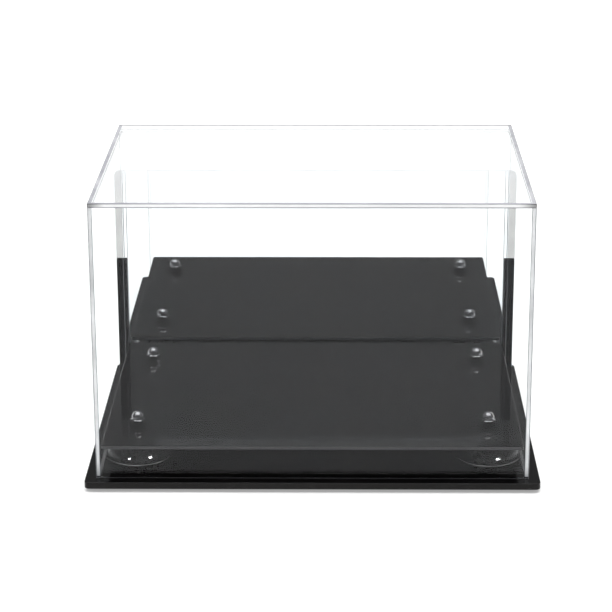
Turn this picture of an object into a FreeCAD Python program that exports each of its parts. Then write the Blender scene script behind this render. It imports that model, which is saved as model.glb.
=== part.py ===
import FreeCAD, Part
import math
import os
import Sketcher

# Clear box cover over a black base, with a raised platform and an upright mirror behind.
# Origin: centre of the footprint, on the surface that the bumper feet stand on.
# +X is the right-hand side seen from the front, the front faces -Y, +Z is up. Millimetres.

DIMENSIONS = [
    # name, value, what it is
    ("cover_width", 350, "outside of the clear cover, left to right"),
    ("cover_depth", 267, "outside of the clear cover, front to back"),
    ("cover_height", 230, "outside of the clear cover, bottom edge to top face"),
    ("cover_sheet", 3.2, "thickness of the cover's five sheets"),
    ("base_width", 368, "black base plate, left to right"),
    ("base_depth", 287, "black base plate, front to back"),
    ("base_thick", 5.6, "black base plate"),
    ("base_corner", 4.5, "plan radius of the base plate's corners"),
    ("edge_break", 0.4, "polished round along the edges of the black sheets"),
    ("foot_height", 3, "bumper foot"),
    ("foot_wide", 12, "bumper foot, diameter at the base plate"),
    ("foot_narrow", 10, "bumper foot, diameter at the floor"),
    ("foot_inset", 16, "foot centre to the base plate's edges"),
    ("foot_round", 0.8, "round at the foot's floor edge"),
    ("platform_gap", 1, "platform edge to the inside of the cover"),
    ("platform_thick", 3, "raised platform"),
    ("platform_corner", 2, "plan radius of the platform's corners"),
    ("riser_height", 23, "half-ball riser, base plate to platform"),
    ("riser_ball", 53, "diameter of the ball that the riser is cut from"),
    ("screw_pitch_x", 290, "screw to screw, left to right"),
    ("screw_pitch_y", 162, "screw to screw, front to back"),
    ("screw_bore", 6.6, "clearance hole for the riser screw"),
    ("screw_shank", 6.35, "riser screw, outside of the thread"),
    ("screw_head", 12.7, "riser screw, diameter of the flat head"),
    ("screw_length", 38.1, "riser screw, overall"),
    ("screw_tip", 0.8, "taper at the end of the thread"),
    ("sink_clearance", 0.15, "countersink beyond the screw's head"),
    ("nut_flats", 11.1, "acorn nut, across the flats"),
    ("nut_hex", 5.4, "acorn nut, height of the hexagon"),
    ("nut_height", 11.9, "acorn nut, overall"),
    ("nut_dome", 10.2, "acorn nut, diameter of the dome"),
    ("nut_bore", 6.45, "acorn nut, bore over the thread"),
    ("nut_bore_depth", 8.5, "acorn nut, depth of the blind bore"),
    ("nut_bevel", 0.55, "fall of the hexagon's bevel at its corners"),
    ("mirror_width", 363, "mirror panel, left to right"),
    ("mirror_rise", 187, "mirror panel, base plate's top to its own top"),
    ("mirror_thick", 3, "mirror panel"),
    ("mirror_corner", 5, "radius of the mirror's two top corners"),
    ("support_height", 104, "black strips that hold the mirror's lower sides"),
    ("support_width", 9, "mirror support strip, left to right"),
    ("support_thick", 3, "mirror support strip"),
    ("support_inset", 0.5, "mirror's side edge to the support's"),
    ("mirror_gap", 0.6, "back of the cover to the mirror supports"),
    ("groove_depth", 2.6, "groove in the base plate that holds the mirror"),
    ("groove_play", 0.15, "groove wall to the mirror, each side"),
]

CORNERS = [("front_left", -1, -1), ("front_right", 1, -1), ("back_left", -1, 1), ("back_right", 1, 1)]
NEAR = 1e-4
BEVEL_REACH = 1  # how far the nut's bevel cut runs past the hexagon

document = FreeCAD.newDocument("display_case")
sheet = document.addObject("Spreadsheet::Sheet", "dims")
for row, (alias, size, meaning) in enumerate(DIMENSIONS, start=1):
    sheet.set(f"A{row}", str(size))
    sheet.setAlias(f"A{row}", alias)
    sheet.set(f"B{row}", meaning)
document.recompute()

# Heights of the stacked layers, as expressions of the driving sizes.
PLATE_BOTTOM = "dims.foot_height"
PLATE_TOP = "(dims.foot_height + dims.base_thick)"
PLATFORM_BOTTOM = f"({PLATE_TOP} + dims.riser_height)"
PLATFORM_TOP = f"({PLATFORM_BOTTOM} + dims.platform_thick)"
COVER_TOP = f"({PLATE_TOP} + dims.cover_height)"
SINK_RADIUS = "(dims.screw_head / 2 + dims.sink_clearance)"
SUPPORT_FACE = "(dims.cover_depth / 2 + dims.mirror_gap)"
MIRROR_FACE = f"({SUPPORT_FACE} + dims.support_thick)"

sub_parts = []


def measure(expression):
    """Value of an expression of the sheet's cells, in millimetres."""
    return float(sheet.evalExpression(expression))


def place(node, across="0", along="0", up="0"):
    """Put a sub-part where three expressions say and keep it for writing."""
    node.setExpression("Placement.Base.x", across)
    node.setExpression("Placement.Base.y", along)
    node.setExpression("Placement.Base.z", up)
    sub_parts.append(node)


def new_body(name):
    body = document.addObject("PartDesign::Body", name)
    body.Label = name
    return body


def sketch_on(body, role, name):
    """Sketch on one of the body's own origin planes."""
    plane = next(item for item in body.Origin.OriginFeatures if item.Role == role)
    sketch = body.newObject("Sketcher::SketchObject", name)
    sketch.AttachmentSupport = (plane, "")
    sketch.MapMode = "FlatFace"
    return sketch


def bind(sketch, constraint, expression):
    """Add a dimension to the sketch and tie it to the sheet."""
    number = sketch.addConstraint(constraint)
    sketch.setExpression(f"Constraints[{number}]", expression)


def pin(sketch, line, end, across, up):
    """Hold one end of a line at two expressions from the sketch's origin."""
    bind(sketch, Sketcher.Constraint("DistanceX", -1, 1, line, end, measure(across)), across)
    bind(sketch, Sketcher.Constraint("DistanceY", -1, 1, line, end, measure(up)), up)


def outline(sketch, corners):
    """Closed outline of straight runs through corners given as pairs of expressions."""
    spots = [FreeCAD.Vector(measure(across), measure(up), 0) for across, up in corners]
    lines = []
    for spot, following in zip(spots, spots[1:] + spots[:1]):
        lines.append(sketch.addGeometry(Part.LineSegment(spot, following)))
    for line, following in zip(lines, lines[1:] + lines[:1]):
        sketch.addConstraint(Sketcher.Constraint("Coincident", line, 2, following, 1))
    for line, (across, up) in zip(lines, corners):
        pin(sketch, line, 1, across, up)


def rectangle(sketch, width, depth):
    """Rectangle centred on the sketch's origin."""
    half_x = f"({width}) / 2"
    half_y = f"({depth}) / 2"
    outline(sketch, [(f"-{half_x}", f"-{half_y}"), (half_x, f"-{half_y}"),
                     (half_x, half_y), (f"-{half_x}", half_y)])


def hole_circles(sketch, radius):
    """Four circles on the screw pattern."""
    for _, side, face in CORNERS:
        across = f"{side} * dims.screw_pitch_x / 2"
        along = f"{face} * dims.screw_pitch_y / 2"
        middle = FreeCAD.Vector(measure(across), measure(along), 0)
        circle = sketch.addGeometry(Part.Circle(middle, FreeCAD.Vector(0, 0, 1), measure(radius)))
        pin(sketch, circle, 3, across, along)
        bind(sketch, Sketcher.Constraint("Radius", circle, measure(radius)), radius)


def pad(body, sketch, name, length):
    feature = body.newObject("PartDesign::Pad", name)
    feature.Profile = sketch
    feature.setExpression("Length", length)
    document.recompute()
    return feature


def pocket(body, sketch, name, depth, reverse):
    """Cut into the body and make sure that material went."""
    before = body.Shape.Volume
    feature = body.newObject("PartDesign::Pocket", name)
    feature.Profile = sketch
    feature.Reversed = reverse
    feature.setExpression("Length", depth)
    document.recompute()
    if body.Shape.Volume > before - NEAR:
        raise RuntimeError(f"{body.Label}: {name} cut nothing")
    return feature


def turned(body, sketch, name, kind="Revolution"):
    """Full turn of the sketch about its upright axis, added or cut away."""
    before = body.Shape.Volume if body.Shape.Solids else 0
    feature = body.newObject(f"PartDesign::{kind}", name)
    feature.Profile = sketch
    feature.ReferenceAxis = (sketch, ["V_Axis"])
    feature.Angle = 360
    document.recompute()
    if abs(body.Shape.Volume - before) < NEAR:
        raise RuntimeError(f"{body.Label}: {name} changed nothing")
    return feature


def edges_where(feature, wanted):
    """Names of the feature's edges for which wanted(edge) holds."""
    names = [f"Edge{number}" for number, edge in enumerate(feature.Shape.Edges, start=1) if wanted(edge)]
    if not names:
        raise RuntimeError(f"{feature.Label}: no such edge")
    return names


def is_upright(edge):
    box = edge.BoundBox
    return box.XLength < NEAR and box.YLength < NEAR


def is_rim_at(height):
    """Picks the edges that lie level at the given height."""
    def chosen(edge):
        box = edge.BoundBox
        return box.ZLength < NEAR and abs(box.ZMin - height) < NEAR
    return chosen


def soften(body, feature, name, edges, radius, kind="Fillet"):
    """Round or bevel some of the feature's edges."""
    dressed = body.newObject(f"PartDesign::{kind}", name)
    dressed.Base = (feature, edges)
    dressed.setExpression("Radius" if kind == "Fillet" else "Size", radius)
    document.recompute()
    return dressed


def black_sheet(name, width, depth, thickness, corner):
    """Rectangular sheet with round corners and softly polished edges."""
    body = new_body(name)
    plan = sketch_on(body, "XY_Plane", f"{name}_plan")
    rectangle(plan, width, depth)
    blank = pad(body, plan, f"{name}_blank", thickness)
    rounded = soften(body, blank, f"{name}_corners", edges_where(blank, is_upright), corner)
    rims = edges_where(rounded, is_rim_at(0)) + edges_where(rounded, is_rim_at(measure(thickness)))
    soften(body, rounded, f"{name}_edges", rims, "dims.edge_break")
    return body


def base_plate():
    body = black_sheet("base_plate", "dims.base_width", "dims.base_depth",
                       "dims.base_thick", "dims.base_corner")
    holes = sketch_on(body, "XY_Plane", "base_screw_holes")
    hole_circles(holes, "dims.screw_bore / 2")
    pocket(body, holes, "base_drilled", "dims.base_thick", True)

    # The mirror's groove, cut down from the top face along the rear edge.
    slot = sketch_on(body, "XY_Plane", "mirror_groove_plan")
    slot.setExpression("AttachmentOffset.Base.z", "dims.base_thick")
    half = "(dims.mirror_width / 2 + dims.groove_play)"
    front = f"({MIRROR_FACE} - dims.groove_play)"
    back = f"({MIRROR_FACE} + dims.mirror_thick + dims.groove_play)"
    outline(slot, [(f"-{half}", front), (half, front), (half, back), (f"-{half}", back)])
    grooved = pocket(body, slot, "mirror_groove", "dims.groove_depth", False)

    # Countersinks for the screws' flat heads, on the underside.
    def is_hole_rim(edge):
        small = edge.BoundBox.XLength < measure("dims.screw_bore") + NEAR
        return small and is_rim_at(0)(edge)
    sink = f"({SINK_RADIUS} - dims.screw_bore / 2)"
    soften(body, grooved, "screw_countersinks", edges_where(grooved, is_hole_rim), sink, "Chamfer")
    if body.Shape.Volume > grooved.Shape.Volume - NEAR:
        raise RuntimeError("base_plate: countersinks cut nothing")
    place(body, up=PLATE_BOTTOM)


def display_platform():
    inside_x = "dims.cover_width - 2 * (dims.cover_sheet + dims.platform_gap)"
    inside_y = "dims.cover_depth - 2 * (dims.cover_sheet + dims.platform_gap)"
    body = black_sheet("display_platform", inside_x, inside_y,
                       "dims.platform_thick", "dims.platform_corner")
    holes = sketch_on(body, "XY_Plane", "platform_screw_holes")
    hole_circles(holes, "dims.screw_bore / 2")
    pocket(body, holes, "platform_drilled", "dims.platform_thick", True)
    place(body, up=PLATFORM_BOTTOM)


def mirror_panel():
    """Upright sheet with two round top corners; its foot stands in the base plate's groove."""
    body = new_body("mirror_panel")
    face = sketch_on(body, "XZ_Plane", "mirror_face")
    half = "dims.mirror_width / 2"
    height = "(dims.mirror_rise + dims.groove_depth)"
    outline(face, [(f"-{half}", "0"), (half, "0"), (half, height), (f"-{half}", height)])
    blank = pad(body, face, "mirror_blank", "dims.mirror_thick")

    def is_top_corner(edge):
        box = edge.BoundBox
        return box.XLength < NEAR and box.ZLength < NEAR and box.ZMin > measure(height) - NEAR
    soften(body, blank, "mirror_corners", edges_where(blank, is_top_corner), "dims.mirror_corner")
    # The pad grows towards -Y from the face of the sketch, so the body stands one thickness back.
    place(body, along=f"{MIRROR_FACE} + dims.mirror_thick", up=f"{PLATE_TOP} - dims.groove_depth")


def flat_sheet(name, size, corner):
    """One plain rectangular sheet, from its lowest corner."""
    panel = document.addObject("Part::Box", name)
    panel.Label = name
    for side, expression in zip(("Length", "Width", "Height"), size):
        panel.setExpression(side, expression)
    place(panel, *corner)


def mirror_supports():
    """A black strip before each lower side margin of the mirror, bonded to it and to the base plate."""
    size = ("dims.support_width", "dims.support_thick", "dims.support_height")
    outer = "(dims.mirror_width / 2 - dims.support_inset)"
    flat_sheet("mirror_support_left", size, (f"-{outer}", SUPPORT_FACE, PLATE_TOP))
    right = f"{outer} - dims.support_width"
    flat_sheet("mirror_support_right", size, (right, SUPPORT_FACE, PLATE_TOP))


def cover_panels():
    """Front and back sheets run the full width, the sides fit between them, the lid lies on all four."""
    wall = "dims.cover_height - dims.cover_sheet"
    between = "dims.cover_depth - 2 * dims.cover_sheet"
    left = "-dims.cover_width / 2"
    front = "-dims.cover_depth / 2"
    facing = ("dims.cover_width", "dims.cover_sheet", wall)
    flank = ("dims.cover_sheet", between, wall)
    flat_sheet("cover_front_panel", facing, (left, front, PLATE_TOP))
    flat_sheet("cover_back_panel", facing, (left, "dims.cover_depth / 2 - dims.cover_sheet", PLATE_TOP))
    flat_sheet("cover_left_panel", flank, (left, f"{front} + dims.cover_sheet", PLATE_TOP))
    right = "dims.cover_width / 2 - dims.cover_sheet"
    flat_sheet("cover_right_panel", flank, (right, f"{front} + dims.cover_sheet", PLATE_TOP))
    lid = ("dims.cover_width", "dims.cover_depth", "dims.cover_sheet")
    flat_sheet("cover_top_panel", lid, (left, front, f"{COVER_TOP} - dims.cover_sheet"))


def riser(name):
    """Half ball with a flat top, bored for its screw."""
    body = new_body(name)
    profile = sketch_on(body, "XZ_Plane", f"{name}_profile")
    ball = measure("dims.riser_ball") / 2
    height = measure("dims.riser_height")
    bore = measure("dims.screw_bore") / 2
    shoulder = (ball ** 2 - height ** 2) ** 0.5
    upward = FreeCAD.Vector(0, 0, 1)
    centre = FreeCAD.Vector(0, 0, 0)
    low_in = FreeCAD.Vector(bore, 0, 0)
    low_out = FreeCAD.Vector(ball, 0, 0)
    high_out = FreeCAD.Vector(shoulder, height, 0)
    high_in = FreeCAD.Vector(bore, height, 0)
    sweep = FreeCAD.Vector(1, 0, 0).getAngle(high_out)
    skin = profile.addGeometry(Part.ArcOfCircle(Part.Circle(centre, upward, ball), 0, sweep))
    top = profile.addGeometry(Part.LineSegment(high_out, high_in))
    wall = profile.addGeometry(Part.LineSegment(high_in, low_in))
    floor = profile.addGeometry(Part.LineSegment(low_in, low_out))
    profile.addConstraint(Sketcher.Constraint("Coincident", skin, 3, -1, 1))
    profile.addConstraint(Sketcher.Constraint("Coincident", skin, 2, top, 1))
    profile.addConstraint(Sketcher.Constraint("Coincident", top, 2, wall, 1))
    profile.addConstraint(Sketcher.Constraint("Coincident", wall, 2, floor, 1))
    profile.addConstraint(Sketcher.Constraint("Coincident", floor, 2, skin, 1))
    profile.addConstraint(Sketcher.Constraint("Horizontal", top))
    profile.addConstraint(Sketcher.Constraint("Horizontal", floor))
    profile.addConstraint(Sketcher.Constraint("Vertical", wall))
    bind(profile, Sketcher.Constraint("Radius", skin, ball), "dims.riser_ball / 2")
    pin(profile, wall, 1, "dims.screw_bore / 2", "dims.riser_height")
    bind(profile, Sketcher.Constraint("DistanceY", -1, 1, wall, 2, 0), "0")
    ball_cut = turned(body, profile, f"{name}_turned")

    def is_outer_rim(edge):
        return edge.BoundBox.XLength > 2 * shoulder - NEAR and edge.BoundBox.ZLength < NEAR
    soften(body, ball_cut, f"{name}_edges", edges_where(ball_cut, is_outer_rim), "dims.edge_break")
    return body


def riser_screw(name):
    """Countersunk machine screw, its head down and its thread drawn as a plain shank."""
    body = new_body(name)
    profile = sketch_on(body, "XZ_Plane", f"{name}_profile")
    shank = "dims.screw_shank / 2"
    head = "dims.screw_head / 2"
    outline(profile, [("0", "0"), (head, "0"), (shank, f"{head} - {shank}"),
                      (shank, "dims.screw_length - dims.screw_tip"),
                      (f"{shank} - dims.screw_tip", "dims.screw_length"), ("0", "dims.screw_length")])
    turned(body, profile, f"{name}_turned")
    return body


def acorn_nut(name):
    """Domed cap nut: hexagon with bevelled corners, ball-ended cap and a blind bore from below."""
    body = new_body(name)
    plan = sketch_on(body, "XY_Plane", f"{name}_hexagon_plan")
    reach = "dims.nut_flats / 2 / cos(30 deg)"
    turns = [(f"{reach} * cos({60 * step} deg)", f"{reach} * sin({60 * step} deg)") for step in range(6)]
    outline(plan, turns)
    pad(body, plan, f"{name}_hexagon", "dims.nut_hex")

    # The hexagon's top corners are turned off at 30 degrees.
    bevel = sketch_on(body, "XZ_Plane", f"{name}_bevel")
    outer = f"({reach} + {BEVEL_REACH})"
    upper = f"(dims.nut_hex + {BEVEL_REACH})"
    inner = f"({reach} - dims.nut_bevel / tan(30 deg))"
    lower = f"(dims.nut_hex - dims.nut_bevel - {BEVEL_REACH} * tan(30 deg))"
    outline(bevel, [(inner, "dims.nut_hex"), (outer, lower), (outer, upper), (inner, upper)])
    turned(body, bevel, f"{name}_bevelled", "Groove")

    # Cap: a short neck that ends in a half ball.
    cap = sketch_on(body, "XZ_Plane", f"{name}_cap_profile")
    ball = measure("dims.nut_dome / 2")
    neck = measure("dims.nut_height - dims.nut_dome / 2")
    low = measure("dims.nut_hex / 2")
    upward = FreeCAD.Vector(0, 0, 1)
    ball_circle = Part.Circle(FreeCAD.Vector(0, neck, 0), upward, ball)
    dome = cap.addGeometry(Part.ArcOfCircle(ball_circle, 0, math.radians(90)))
    axis = cap.addGeometry(Part.LineSegment(FreeCAD.Vector(0, neck + ball, 0), FreeCAD.Vector(0, low, 0)))
    floor = cap.addGeometry(Part.LineSegment(FreeCAD.Vector(0, low, 0), FreeCAD.Vector(ball, low, 0)))
    side = cap.addGeometry(Part.LineSegment(FreeCAD.Vector(ball, low, 0), FreeCAD.Vector(ball, neck, 0)))
    cap.addConstraint(Sketcher.Constraint("Coincident", dome, 2, axis, 1))
    cap.addConstraint(Sketcher.Constraint("Coincident", axis, 2, floor, 1))
    cap.addConstraint(Sketcher.Constraint("Coincident", floor, 2, side, 1))
    cap.addConstraint(Sketcher.Constraint("Coincident", side, 2, dome, 1))
    pin(cap, dome, 3, "0", "dims.nut_height - dims.nut_dome / 2")
    pin(cap, axis, 1, "0", "dims.nut_height")
    pin(cap, floor, 1, "0", "dims.nut_hex / 2")
    cap.addConstraint(Sketcher.Constraint("Horizontal", floor))
    cap.addConstraint(Sketcher.Constraint("Vertical", side))
    bind(cap, Sketcher.Constraint("DistanceY", -1, 1, side, 2, neck), "dims.nut_height - dims.nut_dome / 2")
    turned(body, cap, f"{name}_cap")

    mouth = sketch_on(body, "XY_Plane", f"{name}_bore_plan")
    radius = "dims.nut_bore / 2"
    circle = mouth.addGeometry(Part.Circle(FreeCAD.Vector(0, 0, 0), upward, measure(radius)))
    mouth.addConstraint(Sketcher.Constraint("Coincident", circle, 3, -1, 1))
    bind(mouth, Sketcher.Constraint("Radius", circle, measure(radius)), radius)
    pocket(body, mouth, f"{name}_bore", "dims.nut_bore_depth", True)
    return body


def bumper_foot(name):
    """Soft tapered foot, wide end up, with a round at the floor."""
    taper = document.addObject("Part::Cone", f"{name}_taper")
    taper.setExpression("Radius1", "dims.foot_narrow / 2")
    taper.setExpression("Radius2", "dims.foot_wide / 2")
    taper.setExpression("Height", "dims.foot_height")
    document.recompute()
    floor_edge = edges_where(taper, is_rim_at(0))[0]
    foot = document.addObject("Part::Fillet", name)
    foot.Label = name
    foot.Base = taper
    radius = measure("dims.foot_round")
    foot.Edges = [(int(floor_edge[len("Edge"):]), radius, radius)]
    return foot


def stacks():
    """At each corner: a riser with its screw and acorn nut, and a bumper foot further out."""
    foot_x = "(dims.base_width / 2 - dims.foot_inset)"
    foot_y = "(dims.base_depth / 2 - dims.foot_inset)"
    for corner, side, face in CORNERS:
        across = f"{side} * dims.screw_pitch_x / 2"
        along = f"{face} * dims.screw_pitch_y / 2"
        place(riser(f"riser_{corner}"), across, along, PLATE_TOP)
        place(riser_screw(f"riser_screw_{corner}"), across, along, PLATE_BOTTOM)
        place(acorn_nut(f"acorn_nut_{corner}"), across, along, PLATFORM_TOP)
        place(bumper_foot(f"bumper_foot_{corner}"), f"{side} * {foot_x}", f"{face} * {foot_y}")


def check_document():
    """Stop if anything in the document failed or a sub-part isn't one valid solid."""
    for item in document.Objects:
        if "Invalid" in item.State or "Error" in item.State:
            raise RuntimeError(f"{item.Label} failed: {item.State}")
    for node in sub_parts:
        shape = node.Shape
        if shape.isNull() or not shape.isValid() or len(shape.Solids) != 1:
            raise RuntimeError(f"{node.Label} is not one valid solid")


def write_sub_parts():
    os.makedirs("parts", exist_ok=True)
    for node in sub_parts:
        node.Shape.exportStep(os.path.join("parts", f"{node.Label}.step"))
        box = node.Shape.BoundBox
        low = f"{box.XMin:.2f}, {box.YMin:.2f}, {box.ZMin:.2f}"
        high = f"{box.XMax:.2f}, {box.YMax:.2f}, {box.ZMax:.2f}"
        print(f"{node.Label}: {node.Shape.Volume:.0f} mm3, from ({low}) to ({high})")


base_plate()
display_platform()
mirror_panel()
mirror_supports()
cover_panels()
stacks()
document.recompute()
check_document()
write_sub_parts()
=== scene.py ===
import math

import bmesh
import bpy
from mathutils import Euler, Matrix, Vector


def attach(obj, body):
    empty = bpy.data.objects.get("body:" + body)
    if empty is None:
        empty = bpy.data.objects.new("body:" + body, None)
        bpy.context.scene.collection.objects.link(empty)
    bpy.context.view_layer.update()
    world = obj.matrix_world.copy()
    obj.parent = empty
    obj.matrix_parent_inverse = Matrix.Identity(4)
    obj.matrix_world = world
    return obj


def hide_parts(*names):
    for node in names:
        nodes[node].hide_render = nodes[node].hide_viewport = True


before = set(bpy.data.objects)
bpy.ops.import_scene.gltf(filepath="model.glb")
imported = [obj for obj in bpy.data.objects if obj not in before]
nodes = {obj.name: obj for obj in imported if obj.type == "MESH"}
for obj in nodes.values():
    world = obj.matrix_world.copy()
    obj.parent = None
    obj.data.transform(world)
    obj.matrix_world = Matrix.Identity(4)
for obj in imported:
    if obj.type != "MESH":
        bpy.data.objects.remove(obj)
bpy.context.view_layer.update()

# Sizes are in millimetres, as in the part's source, and become metres where a mesh or a mask is made.
MM = 0.001
CORNERS = ("front_left", "front_right", "back_left", "back_right")
PLATE_TOP, PLATFORM_TOP = 8.6, 34.6
COVER_WIDTH, COVER_DEPTH, COVER_HEIGHT = 350.0, 267.0, 230.0
COVER_TOP = PLATE_TOP + COVER_HEIGHT
SHEET = 3.2
BOND_GAP = 0.04
MIRROR_WIDTH, MIRROR_RISE, MIRROR_THICK, MIRROR_CORNER = 363.0, 187.0, 3.0, 5.0
MIRROR_FACE = 137.1
GROOVE = 2.6
SCREW_PITCH_X, SCREW_PITCH_Y = 290.0, 162.0
NUT_FLATS, NUT_HEX, NUT_HEIGHT, NUT_DOME = 11.1, 5.4, 11.9, 10.2
NUT_BORE, NUT_BORE_DEPTH, NUT_BEVEL = 6.45, 8.5, 0.55
NUT_CORNER_EASE = 0.12
NUT_STEPS, DOME_STEPS, MIRROR_CORNER_STEPS = 72, 12, 10

# Widths of the eased edges.
EDGE_BREAK, SIDE_EDGE_BREAK, LID_EDGE_BREAK = 0.3, 0.45, 0.5

# Nearly all of a noise texture's values fall between these two.
NOISE_LOW, NOISE_HIGH = 0.3, 0.7

# Studio: brightness of the sky, and the shares of it at mid height and low behind.
SKY, DUSK, BACK_BAND = 4.6, 0.045, 0.225
DUSK_TO, ZENITH_FROM = 0.78, 0.86
BAND_TO, BAND_FADED = 0.285, 0.32


# ---------------------------------------------------------------- materials

class Recipe:
    """A node material under construction: makes nodes, sets their inputs and joins them."""

    def __init__(self, name):
        self.material = bpy.data.materials.new(name)
        self.material.use_nodes = True
        self.tree = self.material.node_tree
        self.tree.nodes.clear()
        self.output = self.node("ShaderNodeOutputMaterial")
        self.place = self.node("ShaderNodeTexCoord").outputs["Object"]

    def node(self, kind, **settings):
        made = self.tree.nodes.new(kind)
        for key, value in settings.items():
            setattr(made, key, value)
        return made

    def join(self, source, target):
        self.tree.links.new(source, target)

    def surface(self, shader):
        self.join(shader, self.output.inputs["Surface"])
        return self.material

    def principled(self, **sockets):
        shader = self.node("ShaderNodeBsdfPrincipled")
        for name, value in sockets.items():
            shader.inputs[name.replace("_", " ")].default_value = value
        return shader

    def noise(self, scale, detail=3.0, roughness=0.5, stretch=None):
        """Noise in the object's own metres, stretched along the axes if asked."""
        texture = self.node("ShaderNodeTexNoise")
        texture.inputs["Scale"].default_value = scale
        texture.inputs["Detail"].default_value = detail
        texture.inputs["Roughness"].default_value = roughness
        source = self.place
        if stretch:
            mapping = self.node("ShaderNodeMapping")
            mapping.inputs["Scale"].default_value = stretch
            self.join(source, mapping.inputs["Vector"])
            source = mapping.outputs["Vector"]
        self.join(source, texture.inputs["Vector"])
        return texture.outputs["Fac"]

    def ramp(self, source, dark, pale, low=NOISE_LOW, high=NOISE_HIGH):
        """From the dark tone to the pale one between two values; a tone is a grey or an RGB."""
        ramp = self.node("ShaderNodeValToRGB")
        for element, position, tone in zip(ramp.color_ramp.elements, (low, high), (dark, pale)):
            rgb = tone if isinstance(tone, tuple) else (tone,) * 3
            element.position = position
            element.color = (*rgb, 1.0)
        self.join(source, ramp.inputs["Fac"])
        return ramp.outputs["Color"]

    def mottle(self, scale, dark, pale, **settings):
        """Two tones in soft blotches."""
        return self.ramp(self.noise(scale, **settings), dark, pale)

    def polish(self, scale, smooth, rough, **settings):
        """Roughness that wanders between two values."""
        return self.span(self.noise(scale, **settings), NOISE_LOW, NOISE_HIGH, smooth, rough)

    def span(self, source, low, high, out_low, out_high):
        """Map a value from one span to another, held at the ends."""
        mapping = self.node("ShaderNodeMapRange")
        ends = (("From Min", low), ("From Max", high), ("To Min", out_low), ("To Max", out_high))
        for name, value in ends:
            mapping.inputs[name].default_value = value
        self.join(source, mapping.inputs["Value"])
        return mapping.outputs["Result"]

    def math(self, operation, first, second=0.0):
        """Math on a socket and either a number or another socket."""
        made = self.node("ShaderNodeMath", operation=operation)
        self.join(first, made.inputs[0])
        if isinstance(second, float):
            made.inputs[1].default_value = second
        else:
            self.join(second, made.inputs[1])
        return made.outputs["Value"]

    def axis(self, name):
        """One of the object's own coordinates, in metres."""
        split = self.node("ShaderNodeSeparateXYZ")
        self.join(self.place, split.inputs["Vector"])
        return split.outputs[name]

    def beyond(self, axis, distance):
        """1 where the coordinate's size is past a distance in millimetres, with a soft step."""
        soft = 0.05
        size = self.math("ABSOLUTE", self.axis(axis))
        return self.span(size, (distance - soft) * MM, (distance + soft) * MM, 0.0, 1.0)

    def upright(self):
        """1 on upright faces, 0 on level ones."""
        split = self.node("ShaderNodeSeparateXYZ")
        self.join(self.node("ShaderNodeTexCoord").outputs["Normal"], split.inputs["Vector"])
        return self.span(self.math("ABSOLUTE", split.outputs["Z"]), 0.5, 0.3, 0.0, 1.0)

    def blend(self, share, first, second):
        """From one colour or value to another as share goes from 0 to 1."""
        mix = self.node("ShaderNodeMix", data_type="RGBA")
        self.join(share, mix.inputs[0])
        self.join(first, mix.inputs[6])
        self.join(second, mix.inputs[7])
        return mix.outputs[2]

    def mixed(self, share, first, second):
        """From one shader to another as share goes from 0 to 1."""
        mix = self.node("ShaderNodeMixShader")
        self.join(share, mix.inputs["Fac"])
        self.join(first, mix.inputs[1])
        self.join(second, mix.inputs[2])
        return mix.outputs["Shader"]

    def grazing(self, power):
        """0 face on, rising to 1 at grazing angles."""
        weight = self.node("ShaderNodeLayerWeight")
        weight.inputs["Blend"].default_value = 0.5
        return self.math("POWER", weight.outputs["Facing"], power)

    def bump(self, height, distance, strength):
        bump = self.node("ShaderNodeBump")
        bump.inputs["Distance"].default_value = distance * MM
        bump.inputs["Strength"].default_value = strength
        self.join(height, bump.inputs["Height"])
        return bump.outputs["Normal"]


def scaled(tone, factor):
    return tuple(factor * value for value in tone)


def black_acrylic(name, edge, rough=0.2, gleam=0.2):
    """Polished black sheet: faint cloudiness, hairlines in the gloss, paler cut edges."""
    made = Recipe(name)
    shader = made.principled(IOR=1.49, Specular_IOR_Level=gleam)
    side = made.upright()
    face = made.mottle(70.0, (0.0012, 0.0011, 0.0012), (0.0022, 0.0020, 0.0021), detail=5.0)
    grain = made.noise(700.0, stretch=(0.06, 0.06, 1.0))
    cut = made.ramp(grain, edge, scaled(edge, 1.3))
    made.join(made.blend(side, face, cut), shader.inputs["Base Color"])
    hairlines = made.noise(300.0, detail=2.0, stretch=(1.0, 0.03, 1.0))
    gloss = made.span(hairlines, 0.55, 0.8, 0.01, 0.03)
    sawn = made.span(grain, NOISE_LOW, NOISE_HIGH, rough, 1.4 * rough)
    made.join(made.blend(side, gloss, sawn), shader.inputs["Roughness"])
    return made.surface(shader.outputs["BSDF"])


def riser_plastic():
    """Glossy moulded black plastic with a slight orange peel, and a pale line round its foot that is a
    painted highlight.
    """
    made = Recipe("moulded_black_plastic")
    shader = made.principled(IOR=1.5, Specular_IOR_Level=0.22)
    plain = made.mottle(220.0, 0.004, 0.008, detail=4.0)
    # Painted highlight: a pale band just above the plate stands in for the bright rim round the riser's
    # foot.
    line = made.mottle(90.0, 0.10, 0.40)
    foot = made.span(made.axis("Z"), (PLATE_TOP + 0.6) * MM, (PLATE_TOP + 0.2) * MM, 0.0, 1.0)
    made.join(made.blend(foot, plain, line), shader.inputs["Base Color"])
    made.join(made.polish(130.0, 0.01, 0.03), shader.inputs["Roughness"])
    made.join(made.bump(made.noise(120.0, detail=1.0), 0.004, 0.1), shader.inputs["Normal"])
    return made.surface(shader.outputs["BSDF"])


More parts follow.
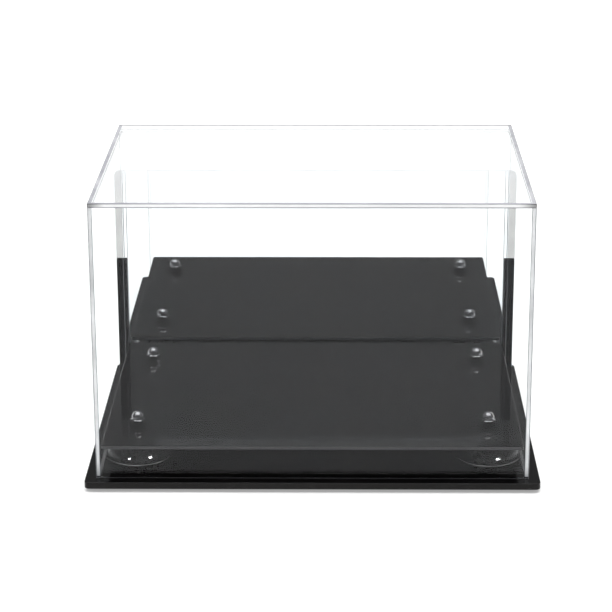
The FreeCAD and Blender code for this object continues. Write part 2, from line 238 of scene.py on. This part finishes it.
def bonds(made, sheet):
    """Show the walls' solvent bonds in the lid's top face: streaky bluish grey, deeper along the back."""
    bond = made.principled(Roughness=0.3, IOR=1.49, Specular_IOR_Level=0.1)
    low, high = 0.32, 0.68
    streaks = made.noise(24.0, detail=5.0, roughness=0.65)
    tone = made.ramp(streaks, (0.17, 0.175, 0.20), (0.40, 0.40, 0.43), low, high)
    deeper = made.ramp(streaks, (0.03, 0.03, 0.035), (0.12, 0.12, 0.13), low, high)
    inner_x, inner_y = 0.5 * COVER_WIDTH - SHEET, 0.5 * COVER_DEPTH - SHEET
    rear = made.span(made.axis("Y"), (inner_y - 0.4) * MM, inner_y * MM, 0.0, 1.0)
    made.join(made.blend(rear, tone, deeper), bond.inputs["Base Color"])
    over_walls = made.math("MAXIMUM", made.beyond("X", inner_x), made.beyond("Y", inner_y))
    on_top = made.math("MULTIPLY", over_walls, made.beyond("Z", COVER_TOP - 0.2))
    return made.mixed(made.math("MULTIPLY", on_top, 0.9), sheet, bond.outputs["BSDF"])


def clear_acrylic(name, least, most, bonded=False):
    """Thin clear sheet: what lies behind it, with a reflection from least, face on, to most, at grazing."""
    made = Recipe(name)
    through = made.node("ShaderNodeBsdfTransparent")
    made.join(made.mottle(9.0, (0.985, 0.990, 0.992), (0.992, 0.996, 0.998), detail=2.0),
              through.inputs["Color"])
    gleam = made.principled(Metallic=1.0)
    made.join(made.mottle(40.0, (0.95, 0.97, 1.0), 1.0), gleam.inputs["Base Color"])
    made.join(made.span(made.noise(70.0), 0.55, 0.75, 0.0, 0.012), gleam.inputs["Roughness"])
    share = made.math("MINIMUM", made.math("ADD", made.grazing(5.0), least), most)
    sheet = made.mixed(share, through.outputs["BSDF"], gleam.outputs["BSDF"])
    return made.surface(bonds(made, sheet) if bonded else sheet)


def cut_edge(name, dark, pale, streak=(1.0, 1.0, 1.0), ghost=0.8, painted_corner_shading=1.0):
    """Narrow cut or bonded face of a clear sheet: milky and streaky from outside, faint from inside. Near
    the cover's side corners its tone is scaled, as painted shade below 1 and painted light above 1.
    """
    made = Recipe(name)
    shader = made.principled(IOR=1.49, Specular_IOR_Level=0.3)
    low, high = 0.32, 0.68
    broad = made.noise(26.0, detail=4.0, roughness=0.6, stretch=streak)
    tone = made.ramp(broad, dark, pale, low, high)
    # Painted corner shading: within 14 mm of the cover's sides the tone is multiplied by the given factor; a
    # factor below 1 paints shade, above 1 paints light.
    if painted_corner_shading != 1.0:
        half = 0.5 * COVER_WIDTH
        sideways = made.math("ABSOLUTE", made.axis("X"))
        painted_corner_mask = made.span(sideways, (half - 14.0) * MM, (half - 2.0) * MM, 0.0, 1.0)
        painted_corner_tone = made.ramp(broad, scaled(dark, painted_corner_shading), scaled(pale, painted_corner_shading), low, high)
        tone = made.blend(painted_corner_mask, tone, painted_corner_tone)
    made.join(tone, shader.inputs["Base Color"])
    made.join(made.polish(600.0, 0.12, 0.3), shader.inputs["Roughness"])
    through = made.node("ShaderNodeBsdfTransparent")
    inside = made.math("MULTIPLY", made.node("ShaderNodeNewGeometry").outputs["Backfacing"], ghost)
    return made.surface(made.mixed(inside, shader.outputs["BSDF"], through.outputs["BSDF"]))


def silvering():
    """The reflecting face of the mirror sheet, with a painted darker reflection along its two side margins.
    """
    made = Recipe("silvered_face")
    shader = made.principled(Metallic=1.0, Coat_Weight=0.2, Coat_Roughness=0.02)
    bright = made.mottle(30.0, (0.90, 0.905, 0.905), (0.925, 0.93, 0.93), detail=4.0)
    # Painted reflection: beyond the cover's width the mirror reflects at about half strength, standing in
    # for the darker reflection along its sides.
    painted_dim_reflection = made.mottle(60.0, (0.44, 0.44, 0.435), (0.50, 0.50, 0.49), detail=4.0)
    sideways = made.math("ABSOLUTE", made.axis("X"))
    painted_margin_mask = made.span(sideways, 0.5 * COVER_WIDTH * MM, (0.5 * COVER_WIDTH + 1.0) * MM, 0.0, 1.0)
    made.join(made.blend(painted_margin_mask, bright, painted_dim_reflection), shader.inputs["Base Color"])
    made.join(made.polish(60.0, 0.0, 0.012), shader.inputs["Roughness"])
    return made.surface(shader.outputs["BSDF"])


def back_paint():
    """Grey protective paint on the mirror's back, with roller texture."""
    made = Recipe("mirror_back_paint")
    shader = made.principled(IOR=1.5, Specular_IOR_Level=0.3)
    made.join(made.mottle(38.0, (0.15, 0.155, 0.165), (0.20, 0.205, 0.215), detail=6.0),
              shader.inputs["Base Color"])
    made.join(made.polish(400.0, 0.42, 0.6, detail=4.0), shader.inputs["Roughness"])
    made.join(made.bump(made.noise(900.0, detail=4.0), 0.03, 0.5), shader.inputs["Normal"])
    return made.surface(shader.outputs["BSDF"])


def black_nickel():
    """Dark bright plating with faint turning marks, its gloss rising to a pale rim at grazing angles."""
    made = Recipe("black_nickel_plate")
    turned = made.polish(900.0, 0.01, 0.04, stretch=(1.0, 1.0, 8.0))
    dark, rim = made.principled(Metallic=1.0), made.principled(Metallic=1.0)
    made.join(made.mottle(600.0, (0.10, 0.10, 0.105), (0.17, 0.17, 0.175)), dark.inputs["Base Color"])
    made.join(made.mottle(500.0, 0.80, 0.95), rim.inputs["Base Color"])
    for shader in (dark, rim):
        made.join(turned, shader.inputs["Roughness"])
    return made.surface(made.mixed(made.grazing(2.2), dark.outputs["BSDF"], rim.outputs["BSDF"]))


def zinc_steel():
    made = Recipe("zinc_plated_steel")
    shader = made.principled(Metallic=1.0)
    made.join(made.mottle(500.0, (0.5, 0.5, 0.51), (0.62, 0.62, 0.63), detail=4.0),
              shader.inputs["Base Color"])
    made.join(made.polish(800.0, 0.22, 0.38), shader.inputs["Roughness"])
    return made.surface(shader.outputs["BSDF"])


def foot_rubber():
    made = Recipe("black_rubber")
    shader = made.principled(IOR=1.5)
    made.join(made.mottle(700.0, 0.012, 0.022, detail=4.0), shader.inputs["Base Color"])
    made.join(made.polish(900.0, 0.6, 0.85), shader.inputs["Roughness"])
    made.join(made.bump(made.noise(2500.0), 0.02, 0.5), shader.inputs["Normal"])
    return made.surface(shader.outputs["BSDF"])


def dress(node, material):
    """Give a CAD node's object one material."""
    mesh = nodes[node].data
    mesh.materials.clear()
    mesh.materials.append(material)


def dress_cad():
    strip = black_acrylic("polished_black_strip", (0.0010, 0.0010, 0.0012), 0.03, 0.0)
    moulded, steel, rubber = riser_plastic(), zinc_steel(), foot_rubber()
    dress("base_plate", black_acrylic("polished_black_base", (0.0034, 0.0028, 0.0025)))
    dress("mirror_support_left", strip)
    dress("mirror_support_right", strip)
    dress("display_platform", black_acrylic("polished_black_platform", (0.044, 0.044, 0.045), 0.3, 0.16))
    for corner in CORNERS:
        dress(f"riser_{corner}", moulded)
        dress(f"riser_screw_{corner}", steel)
        dress(f"bumper_foot_{corner}", rubber)


# ---------------------------------------------------------------- pieces drawn in place of CAD nodes

def stand_in(name, mesh, body):
    """Link a mesh as the piece that replaces the CAD node of the same name."""
    piece = bpy.data.objects.new(name, mesh)
    bpy.context.scene.collection.objects.link(piece)
    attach(piece, body)
    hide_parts(name)


def ease(shape, edges, width):
    """Break the given edges with a small round."""
    bmesh.ops.bevel(shape, geom=edges, offset=width * MM, segments=2, profile=0.5, affect="EDGES")


def slab(name, low, high, materials, choose, edge_break):
    """Sheet between two corners, its edges broken; choose(normal) picks each face's material."""
    mesh = bpy.data.meshes.new(name)
    for material in materials:
        mesh.materials.append(material)
    low, high = Vector(low) * MM, Vector(high) * MM
    shape = bmesh.new()
    bmesh.ops.create_cube(shape, size=1.0)
    for vertex in shape.verts:
        vertex.co = Vector((vertex.co[axis] + 0.5) * (high[axis] - low[axis]) + low[axis]
                           for axis in range(3))
    ease(shape, shape.edges[:], edge_break)
    bmesh.ops.recalc_face_normals(shape, faces=shape.faces[:])
    for face in shape.faces:
        face.material_index = choose(face.normal)
    shape.to_mesh(mesh)
    shape.free()
    return mesh


def along(axis, sign):
    """Test for a face whose outward normal is one of the six directions."""
    return lambda normal: sign * normal[axis] > 0.999


def facing_down(normal):
    return normal.z < -0.1


def low_front(normal):
    return normal.y < -0.1 and normal.z < -0.1


def low_back_round(normal):
    return normal.y > 0.1 and -0.99 < normal.z < -0.1


def picker(clear_axis, special):
    """Face chooser: 0 clear on both sides of the sheet, 1 cut edge, 2 broken corner, or as special says."""
    def choose(normal):
        if abs(normal[clear_axis]) > 0.999:
            return 0
        for test, index in special:
            if test(normal):
                return index
        return 1 if max(abs(value) for value in normal) > 0.999 else 2
    return choose


def cover_front_and_back(ends, corner, wall_low, wall_high):
    """The two full-width sheets, with a faint line of light painted along the front one's foot, brighter
    towards its corners.
    """
    wide, deep = 0.5 * COVER_WIDTH, 0.5 * COVER_DEPTH
    # Painted light: the sheets' lower front broken corners get a pale grey tone, made brighter near the
    # cover's corners.
    painted_foot_light = cut_edge("painted_foot_light", (0.42, 0.43, 0.45), (0.60, 0.61, 0.64), (0.4, 1.0, 1.0), 0.9, 1.6)
    front = clear_acrylic("clear_acrylic", 0.012, 1.0)
    back = clear_acrylic("clear_acrylic_rear", 0.003, 1.0)
    choose = picker(1, [(low_front, 3), (facing_down, 0), (along(2, 1), 0),
                        (along(0, 1), 0), (along(0, -1), 0)])
    for name, face, sheet in (("cover_front_panel", -deep, front), ("cover_back_panel", deep - SHEET, back)):
        mesh = slab(name, (-wide, face, wall_low), (wide, face + SHEET, wall_high),
                    (sheet, ends, corner, painted_foot_light), choose, EDGE_BREAK)
        stand_in(name, mesh, "cover")


def cover_sides(ends, corner, wall_low, wall_high):
    """The two side sheets, between the front and the back."""
    wide, inner = 0.5 * COVER_WIDTH, 0.5 * COVER_DEPTH - SHEET - BOND_GAP
    flank = clear_acrylic("clear_acrylic_sides", 0.0, 0.008)
    choose = picker(0, [(along(2, 1), 0), (along(1, 1), 0)])
    for name, side in (("cover_left_panel", -wide), ("cover_right_panel", wide - SHEET)):
        mesh = slab(name, (side, -inner, wall_low), (side + SHEET, inner, wall_high),
                    (flank, ends, corner), choose, SIDE_EDGE_BREAK)
        stand_in(name, mesh, "cover")


def cover_lid():
    """The top sheet, over all four walls."""
    wide, deep = 0.5 * COVER_WIDTH, 0.5 * COVER_DEPTH
    streak = (0.4, 1.0, 1.0)
    sheet = clear_acrylic("clear_acrylic_lid", 0.012, 1.0, True)
    # Painted shade: the lid's cut edge is darkened towards the cover's corners.
    rim = cut_edge("lid_edge", (0.84, 0.845, 0.855), (1.0, 1.0, 1.0), streak, 0.95, 0.35)
    # Painted shade: the lid's broken corners are darkened further towards the cover's corners.
    line = cut_edge("lid_broken_corner", (0.17, 0.175, 0.20), (0.34, 0.345, 0.38), streak, 0.0, 0.15)
    mesh = slab("cover_top_panel", (-wide, -deep, COVER_TOP - SHEET), (wide, deep, COVER_TOP),
                (sheet, rim, line), picker(2, [(low_back_round, 0)]), LID_EDGE_BREAK)
    stand_in("cover_top_panel", mesh, "cover")


def cover():
    """Five clear sheets bonded into a box, with a hair's gap at each bond."""
    ends = cut_edge("milky_cut_edge", (0.62, 0.625, 0.63), (0.97, 0.97, 0.975), (0.4, 0.4, 1.0), 0.88)
    corner = cut_edge("broken_corner", (0.20, 0.205, 0.22), (0.42, 0.425, 0.45), ghost=0.75)
    wall_low, wall_high = PLATE_TOP + BOND_GAP, COVER_TOP - SHEET - BOND_GAP
    cover_front_and_back(ends, corner, wall_low, wall_high)
    cover_sides(ends, corner, wall_low, wall_high)
    cover_lid()


def mirror_outline():
    """Front view of the mirror sheet from its foot in the groove, as (across, up): two round top corners."""
    half, height = 0.5 * MIRROR_WIDTH, MIRROR_RISE + GROOVE
    outline = [(-half, 0.0), (half, 0.0)]
    for side in (1, -1):
        for step in range(MIRROR_CORNER_STEPS + 1):
            turn = math.radians(90.0 * step / MIRROR_CORNER_STEPS)
            if side < 0:
                turn = math.radians(90.0) - turn
            outline.append((side * (half - MIRROR_CORNER + MIRROR_CORNER * math.cos(turn)),
                            height - MIRROR_CORNER + MIRROR_CORNER * math.sin(turn)))
    return outline


def mirror():
    """Silvered sheet with milky edges and a painted back."""
    mesh = bpy.data.meshes.new("mirror_panel")
    edge = cut_edge("mirror_edge", (0.50, 0.51, 0.53), (0.72, 0.73, 0.74))
    for material in (silvering(), edge, back_paint()):
        mesh.materials.append(material)
    shape = bmesh.new()
    foot = PLATE_TOP - GROOVE
    loop = [shape.verts.new(Vector((across, MIRROR_FACE, foot + up)) * MM)
            for across, up in mirror_outline()]
    grown = bmesh.ops.extrude_face_region(shape, geom=[shape.faces.new(loop)])["geom"]
    for item in grown:
        if isinstance(item, bmesh.types.BMVert):
            item.co.y += MIRROR_THICK * MM
    bmesh.ops.recalc_face_normals(shape, faces=shape.faces[:])
    round_the_faces = [rim for rim in shape.edges
                       if len(rim.link_faces) == 2 and max(len(face.verts) for face in rim.link_faces) > 4]
    ease(shape, round_the_faces, EDGE_BREAK)
    for face in shape.faces:
        face.material_index = 0 if face.normal.y < -0.999 else 2 if face.normal.y > 0.999 else 1
    shape.to_mesh(mesh)
    shape.free()
    stand_in("mirror_panel", mesh, "base")


def nut_rings():
    """An acorn nut's rings from its bore round to its crown: part, radius by angle, height by radius."""
    half = 0.5 * NUT_FLATS
    tip = half / math.cos(math.radians(30.0))
    slope = math.tan(math.radians(30.0))
    inner = tip - NUT_BEVEL / slope
    dome = 0.5 * NUT_DOME
    neck = NUT_HEIGHT - dome

    def hexagon(angle):
        past_flat = angle % 60.0 - 30.0
        return min(half / math.cos(math.radians(past_flat)), tip - NUT_CORNER_EASE)

    rings = [("bore", lambda angle: 0.5 * NUT_BORE, lambda radius: NUT_BORE_DEPTH),
             ("bore", lambda angle: 0.5 * NUT_BORE, lambda radius: 0.0),
             ("foot", hexagon, lambda radius: 0.0),
             ("flat", hexagon, lambda radius: NUT_HEX - max(radius - inner, 0.0) * slope),
             ("bevel", lambda angle: inner, lambda radius: NUT_HEX),
             ("shoulder", lambda angle: dome, lambda radius: NUT_HEX),
             ("neck", lambda angle: dome, lambda radius: neck)]
    for step in range(1, DOME_STEPS):
        rise = math.radians(90.0 * step / DOME_STEPS)
        reach, height = dome * math.cos(rise), neck + dome * math.sin(rise)
        rings.append(("dome", lambda angle, reach=reach: reach, lambda radius, height=height: height))
    return rings


def acorn_nut(corner, across, back, material):
    """Cap nut with its hexagon's corners eased and its dome smooth."""
    flat_parts = ("foot", "flat", "shoulder")
    crease = math.radians(20.0)
    mesh = bpy.data.meshes.new(f"acorn_nut_{corner}")
    mesh.materials.append(material)
    shape = bmesh.new()

    def vertex(radius, turn, up):
        point = Vector((across + radius * math.cos(turn), back + radius * math.sin(turn), PLATFORM_TOP + up))
        return shape.verts.new(point * MM)

    loops = []
    for part, radius_at, height_at in nut_rings():
        angles = [360.0 * step / NUT_STEPS for step in range(NUT_STEPS)]
        loops.append((part, [vertex(radius_at(angle), math.radians(angle), height_at(radius_at(angle)))
                             for angle in angles]))
    for (_, lower), (part, upper) in zip(loops, loops[1:]):
        for step in range(NUT_STEPS):
            following = (step + 1) % NUT_STEPS
            face = shape.faces.new((lower[step], lower[following], upper[following], upper[step]))
            face.smooth = part not in flat_parts
    shape.faces.new(list(reversed(loops[0][1])))
    crown = vertex(0.0, 0.0, NUT_HEIGHT)
    rim = loops[-1][1]
    for step in range(NUT_STEPS):
        shape.faces.new((rim[step], rim[(step + 1) % NUT_STEPS], crown)).smooth = True
    for edge in shape.edges:
        if len(edge.link_faces) == 2 and edge.calc_face_angle() > crease:
            edge.smooth = False
    bmesh.ops.recalc_face_normals(shape, faces=shape.faces[:])
    shape.to_mesh(mesh)
    shape.free()
    stand_in(f"acorn_nut_{corner}", mesh, "base")


def nuts():
    plating = black_nickel()
    for corner in CORNERS:
        row, side = corner.split("_")
        acorn_nut(corner, (-0.5 if side == "left" else 0.5) * SCREW_PITCH_X,
                  (-0.5 if row == "front" else 0.5) * SCREW_PITCH_Y, plating)


# ---------------------------------------------------------------- stage

def floor():
    """Plain pale floor, faintly bright of its own like a light table."""
    reach = 30.0
    made = Recipe("pale_floor")
    shader = made.principled(Roughness=0.9, Specular_IOR_Level=0.1, Emission_Strength=0.6)
    tone = made.mottle(3.0, 0.56, 0.58, detail=4.0)
    made.join(tone, shader.inputs["Base Color"])
    made.join(tone, shader.inputs["Emission Color"])
    mesh = bpy.data.meshes.new("floor")
    mesh.from_pydata([(-reach, -reach, 0), (reach, -reach, 0), (reach, reach, 0), (-reach, reach, 0)],
                     [], [(0, 1, 2, 3)])
    mesh.materials.append(made.surface(shader.outputs["BSDF"]))
    ground = bpy.data.objects.new("floor", mesh)
    bpy.context.scene.collection.objects.link(ground)


def area_light(name, place, target, width, height, power):
    light = bpy.data.lights.new(name, "AREA")
    light.shape = "RECTANGLE"
    light.size = width
    light.size_y = height
    light.energy = power
    lamp = bpy.data.objects.new(name, light)
    lamp.location = place
    aim = Vector(target) - Vector(place)
    lamp.rotation_euler = aim.to_track_quat("-Z", "Y").to_euler()
    bpy.context.scene.collection.objects.link(lamp)
    return lamp


def sky():
    """Surroundings by direction: bright overhead, bright low behind, dark between."""
    world = bpy.data.worlds.new("studio")
    bpy.context.scene.world = world
    world.use_nodes = True
    tree = world.node_tree
    background = tree.nodes["Background"]
    split = tree.nodes.new("ShaderNodeSeparateXYZ")
    tree.links.new(tree.nodes.new("ShaderNodeTexCoord").outputs["Generated"], split.inputs["Vector"])

    def by_height(stops):
        ramp = tree.nodes.new("ShaderNodeValToRGB")
        elements = ramp.color_ramp.elements
        while len(elements) < len(stops):
            elements.new(0.5)
        for element, (position, grey) in zip(elements, stops):
            element.position = position
            element.color = (grey, grey, grey, 1.0)
        tree.links.new(split.outputs["Z"], ramp.inputs["Fac"])
        return ramp.outputs["Color"]

    front = by_height([(0.0, DUSK), (DUSK_TO, DUSK), (ZENITH_FROM, 1.0)])
    behind = by_height([(0.0, BACK_BAND), (BAND_TO, BACK_BAND), (BAND_FADED, DUSK),
                        (DUSK_TO, DUSK), (ZENITH_FROM, 1.0)])
    backwards = tree.nodes.new("ShaderNodeMapRange")
    backwards.inputs["From Min"].default_value = 0.2
    backwards.inputs["From Max"].default_value = 0.6
    tree.links.new(split.outputs["Y"], backwards.inputs["Value"])
    mix = tree.nodes.new("ShaderNodeMix")
    mix.data_type = "RGBA"
    tree.links.new(backwards.outputs["Result"], mix.inputs[0])
    tree.links.new(front, mix.inputs[6])
    tree.links.new(behind, mix.inputs[7])
    tree.links.new(mix.outputs[2], background.inputs["Color"])
    background.inputs["Strength"].default_value = SKY


def lamps():
    """Two soft side lights, and two low ones that show only as highlights on the risers."""
    middle, riser_height = (0, 0, 0.1), (0, -0.1, 0.02)
    area_light("left_softbox", (-1.6, -1.2, 1.5), middle, 0.8, 0.8, 5)
    area_light("right_softbox", (1.8, -1.0, 1.3), middle, 0.7, 0.9, 4)
    low_lights = (("left_low_light", (-0.735, -1.18, 0.06), ("front_left", "back_left")),
                  ("right_low_light", (0.62, -0.80, 0.06), CORNERS))
    for name, place, lit in low_lights:
        lamp = area_light(name, place, riser_height, 0.22, 0.11, 12.0)
        risers = bpy.data.collections.new(f"lit_by_{name}")
        for corner in lit:
            risers.objects.link(nodes[f"riser_{corner}"])
        lamp.light_linking.receiver_collection = risers


def light_paths():
    """Enough bounces for the sheets that lie one behind another and again in the mirror."""
    scene = bpy.context.scene
    scene.view_settings.view_transform = "Standard"
    scene.cycles.max_bounces = 24
    scene.cycles.glossy_bounces = 12
    scene.cycles.transparent_max_bounces = 48


def camera():
    """Long lens from the front, a little right of the middle, looking down by about 18 degrees."""
    lens = bpy.data.cameras.new("camera")
    lens.lens = 129.5
    lens.sensor_width = 36.0
    lens.clip_end = 100.0
    view = bpy.data.objects.new("camera", lens)
    view.location = (0.0203, -1.7850, 0.6908)
    tilt, turn, roll = math.radians(72.034), math.radians(0.803), math.radians(0.183)
    view.rotation_euler = Euler((tilt, roll, turn), "XYZ")
    bpy.context.scene.collection.objects.link(view)
    bpy.context.scene.camera = view


dress_cad()
cover()
mirror()
nuts()
floor()
sky()
lamps()
light_paths()
camera()
